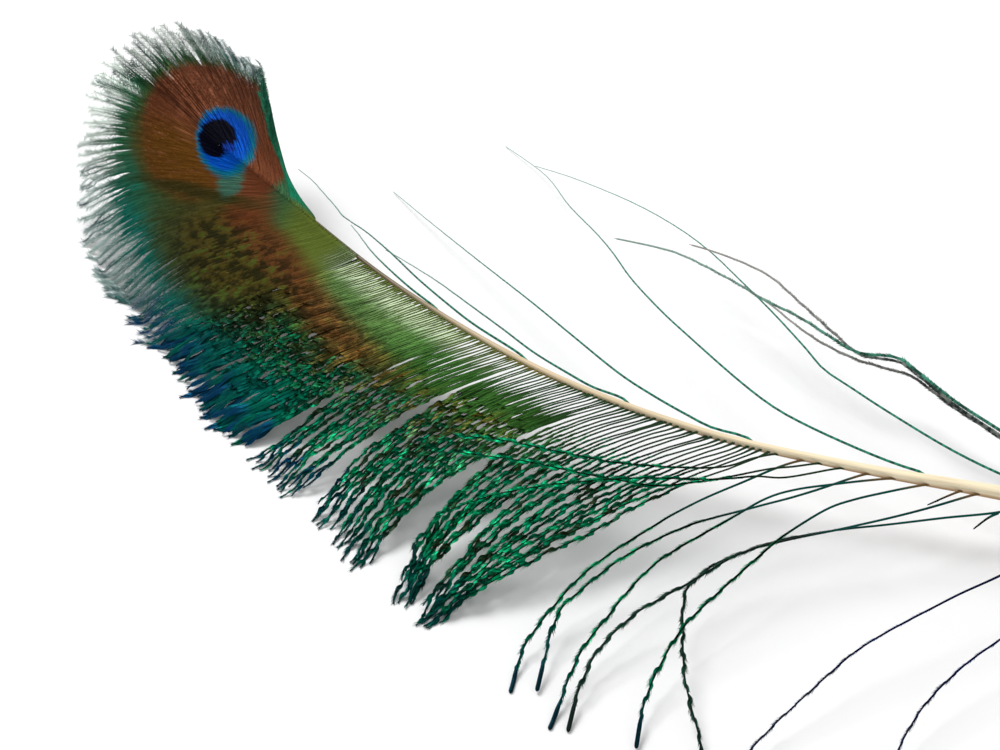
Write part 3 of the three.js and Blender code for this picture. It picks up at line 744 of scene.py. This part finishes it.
def shaftMaterial():
    material, tree, shader = newMaterial("shaftHorn", 0.4)
    place = addNode(tree, "ShaderNodeAttribute", attribute_name="shaftPlace")
    part = addNode(tree, "ShaderNodeSeparateXYZ", {"Vector": place.outputs["Vector"]}).outputs
    r = {"along": part["X"], "height": part["Y"], "across": part["Z"]}
    scaled = [product(tree, value, scale) for value, scale in zip(r.values(), shaftLook["grain"])]
    r["grain"] = grainOf(tree, *scaled, shaftLook["grainDetail"])
    kind, low, high, below, above = shaftLook["sides"]
    body = blendColours(tree, ramp(tree, r[kind], low, high), below, above)
    for kind, low, high, amount, code in shaftLook["bands"]:
        body = blendColours(tree, product(tree, ramp(tree, r[kind], low, high), amount), body, code)
    tree.links.new(body, shader.inputs["Base Color"])
    bump = addNode(tree, "ShaderNodeBump", dict(shaftLook["bump"], Height=r["grain"]))
    tree.links.new(bump.outputs["Normal"], shader.inputs["Normal"])
    return material


downFibre = {"colour": "#b9aea0", "roughness": 0.9, "noise": {"Scale": 300.0, "Detail": 4.0}, "shade": 0.4}


def downMaterial():
    material, tree, shader = newMaterial("softDown", downFibre["roughness"])
    coordinates = addNode(tree, "ShaderNodeTexCoord")
    values = dict(downFibre["noise"], Vector=coordinates.outputs["Object"])
    noise = addNode(tree, "ShaderNodeTexNoise", values)
    shaded = maths(tree, "MULTIPLY", noise.outputs["Fac"], downFibre["shade"])
    tree.links.new(blendColours(tree, shaded, downFibre["colour"], "#000000"), shader.inputs["Base Color"])
    return material


# looks of the different barbs; the rows of numbers run from the barb's root to its tip

ropeLook = {
    "lengthNoise": 1.3, "shorter": 1.5, "wander": 0.35, "wanderPower": 1.5, "lift": 0.45, "clump": 0.4,
    "hook": 0.0, "span": 1.0, "sink": 0.0, "rootValue": None,
    "clumpFrom": 0.35, "pinchPower": 2.0, "split": None, "floorGap": 0.25, "tuck": 0.1, "over": 0.0,
    "stem": (0.14, 0.09), "stemSides": 4, "stemSteps": 24, "rootFlare": 0.1,
    "rod": {"length": 0.8, "radius": 0.12, "steps": 4},
    "blade": 2.6, "square": 0.97, "skew": 0.75, "twistStart": (0.02, 0.05), "twistTurns": 40, "neck": 0.78,
    "uneven": 0.3, "tones": (0, 1), "bare": 0.6, "webStep": 0.32, "webThick": 0.07, "crown": 0.0,
    "webAt": (0, 0.12, 0.25, 0.42, 0.9, 1), "webWidth": (0.05, 0.18, 0.38, 0.6, 0.64, 0.4),
    "webGap": (0,) * 6, "reach": (0.3, 0.6, 1.2, 1.8, 1.8, 1.2), "reachGap": (0,) * 6,
    "pitch": 0.22, "width": 0.32, "thick": 0.05, "roughness": 0.1, "angle": (22, 24),
}
combLook = dict(  # the bare lower parts of the loosest ropes stand like the teeth of a comb
    ropeLook, stem=(0.17, 0.1), webWidth=(0.05, 0.12, 0.32, 0.62, 0.68, 0.45),
    reach=(0.2, 0.4, 1.0, 1.9, 1.9, 1.3))
openLook = dict(  # ropes whose lower parts lie flat and close
    ropeLook, twistStart=(0.2, 0.32), lift=0.35,
    webGap=(0, 0.04, 0.18, 0.12, 0, 0), reachGap=(0, 0.1, 0.35, 0.15, 0, 0))
denseLook = dict(  # the near vane between the loose ropes and the eye
    openLook, twistStart=(0.24, 0.4), blade=2.9, clump=0.3, lift=0.3, webAt=(0, 0.1, 0.26, 0.5, 0.9, 1),
    webWidth=(0.05, 0.08, 0.15, 0.42, 0.55, 0.3), webGap=(0.1, 0.35, 0.45, 0.3, 0, 0),
    reach=(0.3, 0.4, 0.8, 1.4, 1.7, 1.1), reachGap=(0.1, 0.5, 0.8, 0.4, 0, 0))
hairyLook = dict(  # flat and hairy barbs next to the eye, with hardly a twist
    denseLook, twistStart=(0.3, 0.48), blade=2.6, twistTurns=6, wander=0.6,
    webGap=(0.7, 0.88, 0.9, 0.75, 0.5, 0.3), reachGap=(0.3, 0.6, 0.8, 0.5, 0.6, 0.4))
eyeLook = dict(  # barbs that lie flat and closed as far as the fringe
    ropeLook, lengthNoise=2.6, shorter=0, wander=0.8, wanderPower=3.0, lift=0.12, clump=0.3, clumpFrom=0.6,
    split=(216, 1.3, 5, 0.8), hook=8.0, blade=0, twistStart=(0, 0), skew=0, neck=0, uneven=0, tuck=0.62,
    over=0.5, stem=(0.1, 0.05), rootFlare=0.0, bare=0.0, rod={"length": 1.5, "radius": 0.04, "steps": 4},
    webStep=1.1, webThick=0.06, crown=0.12, webAt=(0, 0.3, 0.64, 0.8, 1),
    webWidth=(0.2, 0.15, 0.1, 0.02, 0.01), webGap=(0.88, 0.88, 0.82, 0.2, 0.0),
    reach=(0.3, 0.3, 0.6, 1.5, 1.9), reachGap=(0.5, 0.9, 1.0, 0.5, 0.2), pitch=0.34, roughness=0.25,
    angle=(45, 30))
looseLook = dict(  # single barbs: a bare round stem first, then a rope, and a thick dark end
    ropeLook, stem=(0.23, 0.12), stemSides=8, stemSteps=60, rod={"length": 6.0, "radius": 0.38, "steps": 12},
    neck=0.85, tones=(0.2, 1.0), twistStart=(0.3, 0.4), uneven=0.4, roughness=0.22, sink=0.5,
    angle=(27, 30), webAt=(0, 0.28, 0.48, 0.72, 0.9, 1), webWidth=(0.05, 0.1, 0.34, 0.56, 0.6, 0.45),
    reach=(0.1, 0.3, 1.2, 1.7, 1.7, 1.4))
thinLook = dict(
    looseLook, stem=(0.25, 0.08), rod=ropeLook["rod"], webWidth=(0.05, 0.08, 0.18, 0.28, 0.3, 0.2),
    reach=(0.1, 0.2, 0.6, 1.0, 1.0, 0.8))
brokenLook = dict(
    looseLook, stem=(0.24, 0.12), stemSteps=10, rod={"length": 0.5, "radius": 0.1, "steps": 3},
    webWidth=(0.1, 0.2, 0.25, 0.25, 0.2, 0.1), reach=(0.3, 0.5, 0.6, 0.6, 0.5, 0.3))
strayLook = dict(  # they cross the near vane, coloured as its emerald part is
    looseLook, rod=ropeLook["rod"], uneven=0.3, tones=(0.4, 1.0), stem=(0.2, 0.1), twistStart=(0.05, 0.1),
    span=0.72, rootValue=121, webWidth=(0.05, 0.3, 0.6, 0.72, 0.7, 0.5), reach=(0.1, 0.7, 1.7, 2.0, 1.9, 1.3))
farLook = dict(  # nearly bare stems
    looseLook, rod={"length": 1.0, "radius": 0.08, "steps": 4}, stem=(0.26, 0.09), neck=0.2, uneven=0.2,
    joinBehind=2.5, webWidth=(0.1, 0.2, 0.22, 0.2, 0.15, 0.1),
    reach=(0.1, 0.4, 0.5, 0.45, 0.4, 0.3), pitch=0.25)
bundleLook = dict(
    farLook, stem=(0.34, 0.2), roughness=0.8, webWidth=(0.1, 0.4, 0.4, 0.35, 0.25, 0.1),
    reach=(0.2, 1.2, 1.4, 1.2, 0.8, 0.4), pitch=0.14)

vaneFinish = vaneMaterial()
hornFinish = shaftMaterial()
bareFinish = bareBarbMaterial()
downFinish = downMaterial()
print("materials made")

# the near vane, lock by lock: the barbs of a lock lean towards its focus by its pinch

lockTable = {
    "near_lock_1": {"roots": (108.6, 127), "focus": 126, "pinch": 0.86, "count": 14, "look": combLook,
                    "fit": {"pinchPower": 2, "shorter": 3.5}},
    "near_lock_2": {"roots": (127, 138.8), "focus": 129.2, "pinch": 0.8, "count": 11, "look": combLook,
                    "fit": {"pinchPower": 2, "shorter": 3}},
    "near_lock_3": {"roots": (138.8, 158.3), "focus": 140, "pinch": 0.16, "count": 24, "look": openLook,
                    "fit": {"pinchPower": 1.1}},
    "near_lock_4": {"roots": (158.3, 170.7), "focus": 171, "pinch": 0.08, "count": 17, "look": denseLook,
                    "fit": {"pinchPower": 1.1}},
    "near_lock_5": {"roots": (170.7, 190), "focus": 190, "pinch": 0.13, "count": 28, "look": hairyLook,
                    "fit": {"pinchPower": 1.1}},
    "near_lock_6": {"roots": (190, 205), "focus": 205, "pinch": 0.12, "count": 25, "look": hairyLook,
                    "fit": {"pinchPower": 3}},
}
rowShape = {"clump": 3, "rootNoise": 0.12}


def rowOfStrands(roots, count, table, side, look, focus=None, pinch=0.0):
    edges = np.linspace(roots[0], roots[1], count + 1)
    rootGap = abs(edges[1] - edges[0])
    places = (edges[:-1] + edges[1:]) / 2 + dice.normal(0, rowShape["rootNoise"], count) * rootGap
    made, i = [], 0
    while i < count:
        clump = places[i:i + int(dice.integers(rowShape["clump"] - 1, rowShape["clump"] + 2))]
        made += [vaneStrand(table, root, side, look, rootGap, focus, pinch, clump.mean()) for root in clump]
        i += len(clump)
    return made


for name, lock in lockTable.items():
    look = dict(lock["look"], **lock["fit"])
    strands = rowOfStrands(lock["roots"], lock["count"], nearBarbs, 1, look, lock["focus"], lock["pinch"])
    growPiece(name.replace("near_lock", "vaneLock"), strands, look, vaneFinish, [name])

eyeParts = {
    "eyeLower": {"roots": (205, 226), "count": 42, "table": nearBarbs, "side": 1},
    "eyeOuter": {"roots": (226, 244), "count": 38, "table": nearBarbs, "side": 1},
    "eyeTop": {"roots": (244, 257), "count": 30, "table": nearBarbs, "side": 1},
    "eyeInner": {"roots": (220, 256.9), "count": 74, "table": farBarbs, "side": -1},
}
# a few barbs go straight on from the shaft's end; sides between 1 and -1 spread them
middleBarbs = {"root": 257.2, "sides": (0.75, 0.45, 0.15, -0.15, -0.45), "rootGap": 0.7, "gap": (0.15, 0.9)}
for name, part in eyeParts.items():
    strands = rowOfStrands(part["roots"], part["count"], part["table"], part["side"], eyeLook)
    if name == "eyeTop":
        for side in middleBarbs["sides"]:
            middle = vaneStrand(nearBarbs, middleBarbs["root"], side, eyeLook, middleBarbs["rootGap"])
            middle["gap"] = np.linspace(*middleBarbs["gap"], len(middle["runs"]))
            strands.append(middle)
    growPiece(name, strands, eyeLook, vaneFinish, ["eye_vane"])

# loose barbs: p, q and height above the vane's surface on the near side, places in the frame on the far side

looseNearBarbs = {
    "near_barb_1": [[102.6, 0, 0], [107, 3.6, 0], [112, 8.5, 0], [118.7, 15.7, 0], [125.1, 24.8, 0],
                    [131.6, 35.2, 0], [134.4, 43, 0], [136.2, 51.4, 0], [135.5, 59.7, 0]],
    "near_barb_2": [[90.9, 0, 0], [99.1, 6.4, 0], [104.4, 9.9, -0.4], [109.8, 13.6, -0.4], [117.8, 20, 0],
                    [122.4, 25.1, 0], [127.3, 31.4, 0], [131.4, 38.8, 0], [133.5, 44.8, 0], [132.4, 57.8, 0]],
    "near_barb_3": [[85.9, 0, 0], [97.4, 6, 0.9], [103.8, 9.3, 1.2], [108.3, 12.5, 1.2], [112.4, 17.1, 0.9],
                    [120.2, 27.3, 0.4], [124.1, 34.9, 0], [126.6, 42.7, 0], [128.6, 50.4, 0], [129, 63, 0]],
    "near_barb_4": [[71.3, 0, 0], [81.3, 6.4, 0], [93.9, 13.8, 0], [104.5, 19.6, 0], [111.3, 24.5, 0],
                    [117.1, 32.4, 0.4], [121.2, 38.1, 0.3], [124, 42.7, 0], [126.3, 48.5, 0], [127, 55, 0],
                    [126.6, 62.3, 0]],
    "near_barb_5": [[80.1, 0, 0], [87.6, 4.6, 0.6], [94, 8.9, 1.2], [98.8, 12.8, 1.6], [104.5, 19.3, 1.6],
                    [107.5, 23.6, 1.4], [112.3, 31.8, 1], [116.3, 40.2, 0.9], [118.1, 47.6, 0.2],
                    [118.7, 54, 0], [118.3, 61.4, 0]],
    "near_barb_6": [[62, 0, 0], [69.4, 4.6, 0], [79.8, 8, -0.6], [89.5, 11.6, -1], [98, 15, -1.2],
                    [106, 19.2, -1.3], [112.1, 24.2, -1.3], [114.8, 27.2, -1.3], [117.2, 32.2, -1.1],
                    [117.2, 36, -0.9], [116.5, 40.2, -0.6], [114.8, 48.6, 0], [111.3, 58.1, 0],
                    [110.4, 63, 0]],
    "near_barb_7": [[50, 0, 0], [60, 9.6, 0], [71.3, 18.5, 0], [80.1, 25.3, 0], [91.8, 36.5, 0],
                    [101.5, 49.3, 0], [106.4, 58, 0], [107.8, 63, 0]],
    "near_barb_8": [[45, 0, 0], [54, 11.5, 0], [64, 22.4, 0], [72.6, 30.5, 0], [78.5, 36.6, 0],
                    [83.8, 44.6, 0], [87.6, 55, 0], [89.2, 63, 0]],
}
strayBarbs = {
    "stray_barb_1": [[107.4, 0, 0], [112, 4.6, 1.4], [116.7, 8.6, 1.6], [125.5, 12.2, 1.6],
                     [133.6, 14.5, 1.6],
                     [140.5, 15.8, 1.6], [147.9, 17.4, 1.6], [152.7, 18.7, 1.6], [161.1, 22, 1.6]],
    "stray_barb_2": [[99.3, 0, 0], [104.5, 3.6, 0.8], [109.6, 6.7, 1.5], [119.2, 12.9, 1.5], [126, 16.7, 1.4],
                     [132.9, 17.9, 1.4], [141.7, 19.4, 1.4], [147.9, 20.8, 1.5], [158.5, 24.6, 1.5]],
    "stray_barb_3": [[95.3, 0, 0], [105.6, 6.8, 1], [111, 9.6, 2.4], [117.3, 12.9, 2.8], [125.3, 15.9, 2.8],
                     [134.3, 19.6, 2.6], [142.7, 23.8, 1.6], [149.7, 29.6, 1.5], [155.5, 37, 1.4]],
}
looseFarBarbs = {
    "far_barb_1": [[-35.5, -1.9, 19], [-40.8, 4.4, 19.2], [-46.2, 12.2, 19], [-50.4, 19.3, 18.6],
                   [-54.3, 27.6, 18], [-56.5, 32, 17.6]],
    "far_barb_2": [[-17.3, -16.3, 17.2], [-19.3, -14.2, 17.5], [-27, -6.4, 17.6], [-32.6, 0.8, 17.4],
                   [-39.7, 11.2, 16.8], [-45.4, 20.9, 16], [-49.3, 27.2, 15.4], [-53.4, 33.3, 14.9],
                   [-59.1, 40.2, 14.5], [-61.9, 45.5, 14.3], [-65.7, 52.4, 14], [-69.3, 59, 13.6],
                   [-74.2, 66.2, 13]],
    "far_barb_3": [[1.4, -26.3, 15.3], [-3.9, -23.5, 15.6], [-8.3, -20.1, 16], [-15.1, -13.6, 16.2],
                   [-21.2, -5.8, 16], [-27.2, 2.2, 15.4], [-35.1, 12.7, 14.6], [-40.3, 19, 14],
                   [-45.8, 25, 13.6], [-48.5, 27.8, 13.4]],
    "far_barb_4": [[23.5, -35.3, 13.7], [17.8, -33, 13.8], [13.8, -29.7, 13.8], [7.7, -23.6, 13.6],
                   [1.5, -15.8, 13], [-7.1, -1.3, 11.4], [-15.3, 13.9, 9], [-27.9, 35.4, 6], [-40.6, 57.4, 3],
                   [-51.1, 76.2, 0.4]],
    "far_barb_5": [[53.5, -43.3, 12.7], [49.9, -41.6, 12.8], [43.7, -37.4, 12.8], [36.1, -31.4, 12.8],
                   [30.5, -25.8, 12.8], [24.9, -17.4, 12.8], [17.5, -3.5, 12.4], [12.7, 6.3, 12],
                   [7.8, 19, 11.2], [4.6, 31.2, 10.2], [1.4, 41.4, 9.2], [-4.1, 58.7, 6.4], [-9.5, 81.3, 2.6],
                   [-20.4, 102.3, 0.3]],
    "far_barb_6": [[80.6, -48.2, 10.6], [71.2, -44.2, 11.2], [62.2, -36.9, 11.5], [52.5, -27.3, 12.6],
                   [46.8, -20.4, 13], [42.7, -15.2, 13.3], [40.4, -8.3, 13.4], [36.2, 4, 13.2],
                   [31.6, 16.7, 12.6], [26.6, 30, 11.8], [20.3, 41.9, 11], [11.1, 54.6, 10],
                   [-2.2, 68.3, 8.8], [-12.8, 76.7, 8]],
    "far_barb_7": [[96.6, -50.9, 8.4], [82.6, -43.5, 9.8], [71.5, -30.1, 10.8], [66.1, -24.3, 12],
                   [60.6, -15.6, 13], [58.3, -12.7, 13.2], [54, -12, 13.5], [50.6, -10.4, 13.5],
                   [47.7, -4.3, 13.5], [42.8, 7.3, 13.3], [38.7, 16.8, 13.1], [33.5, 22.8, 13],
                   [27, 27.9, 12.9], [21.9, 31, 12.8]],
    "far_barb_8": [[88.6, -49.6, 9.6], [80.6, -43, 12], [70.5, -31.1, 13], [65.2, -25.4, 14],
                   [59.7, -17, 15], [57.4, -13.9, 15.2], [53.3, -13.1, 15.2], [49.8, -12.3, 15.2],
                   [46.9, -9.1, 15.2], [40.8, -0.7, 15.2], [34.4, 6.5, 14.8], [29.5, 13.3, 14.5],
                   [20.7, 23.9, 13.8], [15, 28.7, 13.2], [4.5, 34.3, 12.4]],
    "far_barb_9": [[92.6, -50.3, 8.8], [82.6, -44, 8.8], [72.4, -29, 9.2], [66.8, -23.4, 10.4],
                   [61, -15.4, 11.4], [58.3, -14.1, 11.6], [54.4, -12.2, 11.7], [51.1, -10.4, 11.7],
                   [47.4, -7.2, 11.7], [43.8, -3.1, 11.7], [40.5, 2.4, 11.6], [37.6, 8.1, 11.5],
                   [35, 12.3, 11.4]],
}
brokenBarbs = [[[74.5, 0, 0], [77.6, 2.5, 0], [82.2, 6.3, 0]],
               [[70, 5, 0], [72.1, 6.9, 0], [74.7, 9.7, -0.2]]]
thinBarbs = ("near_barb_7", "near_barb_8")
bundleRoots = {"far_barb_7": 108, "far_barb_8": 105.2, "far_barb_9": 108}  # a higher value is greyer
greenRoot = 100

broken = [looseStrand(points, brokenLook) for points in brokenBarbs]
growPiece("brokenBarbs", broken, brokenLook, vaneFinish, [])
for name, points in looseNearBarbs.items():
    look = thinLook if name in thinBarbs else looseLook
    strands = [looseStrand(points, look)]
    growPiece(name.replace("near_barb", "nearBarb"), strands, look, vaneFinish, [name])
for name, points in strayBarbs.items():
    strands = [looseStrand(points, strayLook)]
    growPiece(name.replace("stray_barb", "strayBarb"), strands, strayLook, vaneFinish, [name])
for name, points in looseFarBarbs.items():
    look = bundleLook if name in bundleRoots else farLook
    strands = [freeStrand(points, bundleRoots.get(name, greenRoot), look)]
    growPiece(name.replace("far_barb", "farBarb"), strands, look, bareFinish, [name])

# the shaft: the CAD body, rounded, with its length and sides known to its finish

samePoint = 1e-6
shaftRounding = 2


def makeShaft():
    bpy.ops.object.select_all(action="DESELECT")
    shaft = bpy.data.objects.new("featherShaft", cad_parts["shaft"].data.copy())
    bpy.context.scene.collection.objects.link(shaft)
    bpy.context.view_layer.objects.active = shaft
    shaft.select_set(True)
    bpy.ops.object.mode_set(mode="EDIT")
    bpy.ops.mesh.select_all(action="SELECT")
    bpy.ops.mesh.remove_doubles(threshold=samePoint)
    bpy.ops.mesh.tris_convert_to_quads()
    bpy.ops.object.mode_set(mode="OBJECT")
    bpy.ops.object.modifier_add(type="SUBSURF")
    shaft.modifiers[-1].levels = shaft.modifiers[-1].render_levels = shaftRounding
    bpy.ops.object.modifier_apply(modifier=shaft.modifiers[-1].name)
    bpy.ops.object.shade_smooth()
    spots = np.array([v.co for v in shaft.data.vertices]) / mm
    nearest = np.linalg.norm(spots[:, None] - shaftLine[None], axis=2).argmin(1)
    p = shaftRuns[nearest]
    point, heading, side = shaftAt(p)
    over = np.cross(heading, side)
    size = np.stack([np.interp(p, shaftSizes[:, 0], shaftSizes[:, k]) / 2 for k in (1, 2)], -1)
    place = np.stack([p, np.sum((spots - point) * over, 1) / size[:, 1],
                      np.sum((spots - point) * side, 1) / size[:, 0]], -1)
    layer = shaft.data.attributes.new("shaftPlace", "FLOAT_VECTOR", "POINT")
    layer.data.foreach_set("vector", place.astype(np.float32).ravel())
    shaft.data.materials.clear()
    shaft.data.materials.append(hornFinish)
    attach(shaft, "root")
    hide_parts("shaft")
    print("shaft", len(shaft.data.polygons), "faces")


makeShaft()

# down above the bare quill

downTufts = {"down_tuft_1": {"p": 24, "side": 1, "reach": 9, "length": 13},
             "down_tuft_2": {"p": 24, "side": -1, "reach": 8.5, "length": 12}}
downShape = {"count": 38, "steps": 24, "roots": (-4, 5), "spread": 0.8, "lengths": (0.5, 1.0),
             "lengthPower": 1.2, "rootOut": 1.2, "tipIn": 1.5, "curls": (0.6, 1.5), "waves": 3,
             "waveHeight": 1.0}
downLook = dict(
    ropeLook, blade=0, twistStart=(0, 0), skew=0, neck=0, stem=(0.07, 0.03), stemSteps=12, rootFlare=0.05,
    rod={"length": 0.5, "radius": 0.02, "steps": 3}, webWidth=(0.02,) * 6, webStep=2.0, bare=0.3,
    reach=(0.6, 1.4, 2.0, 2.0, 1.6, 0.9), pitch=0.3, width=0.07, thick=0.03, roughness=1.2, angle=(60, 40))


def downStrand(tuft):
    shape = downShape
    root = tuft["p"] + dice.uniform(*shape["roots"])
    t = np.linspace(0, 1, shape["steps"])
    spread = dice.normal(0, shape["spread"]) * t
    p = root + tuft["length"] * dice.uniform(*shape["lengths"]) * t ** shape["lengthPower"]
    curl = np.sin(t * dice.uniform(*shape["curls"]))
    q = tuft["side"] * (shape["rootOut"] + (tuft["reach"] - shape["tipIn"]) * curl + spread)
    rise = dice.uniform(-shape["waveHeight"], shape["waveHeight"]) * np.sin(shape["waves"] * t)
    up = drapeUp(p, q)
    return finishStrand(drape(p, q) + up * rise[:, None], up, p, q, root, downLook)


for name, tuft in downTufts.items():
    strands = [downStrand(tuft) for _ in range(downShape["count"])]
    growPiece(name.replace("down_tuft", "downTuft"), strands, downLook, downFinish, [name])

# floor, light and camera

floorLook = {"size": 4, "roughness": 0.9, "colour": (0.92, 0.92, 0.925, 1)}
bpy.ops.object.select_all(action="DESELECT")
bpy.ops.mesh.primitive_plane_add(size=floorLook["size"], location=(0, 0, 0))
ground = bpy.context.active_object
ground.name = "floor"
floorFinish, _, floorShader = newMaterial("paleFloor", floorLook["roughness"])
floorShader.inputs["Base Color"].default_value = floorLook["colour"]
ground.data.materials.append(floorFinish)

studio = {"sky": 0.6, "keyPower": 13.5, "keySize": 0.6, "keyPlace": (-0.5, 0.5, 1.2)}
world = bpy.data.worlds.new("studio")
bpy.context.scene.world = world
world.use_nodes = True
sky = world.node_tree.nodes["Background"].inputs
sky["Color"].default_value = (1, 1, 1, 1)
sky["Strength"].default_value = studio["sky"]
lamp = bpy.data.lights.new("keyLight", "AREA")
lamp.energy, lamp.size = studio["keyPower"], studio["keySize"]
key = bpy.data.objects.new("keyLight", lamp)
bpy.context.scene.collection.objects.link(key)
key.location = studio["keyPlace"]
key.rotation_euler = (-key.location).to_track_quat("-Z", "Y").to_euler()

shot = {"place": (-0.0219, -0.180, 0.150), "down": 40, "lens": 38.59, "sensor": 36, "nearest": 0.01}
camera = bpy.data.objects.new("camera", bpy.data.cameras.new("camera"))
bpy.context.scene.collection.objects.link(camera)
camera.location = shot["place"]
camera.rotation_euler = (math.radians(90 - shot["down"]), 0, 0)
camera.data.lens, camera.data.sensor_width = shot["lens"], shot["sensor"]
camera.data.clip_start = shot["nearest"]
bpy.context.scene.camera = camera
bpy.context.scene.view_settings.view_transform = "Standard"
print("floor, light and camera set")
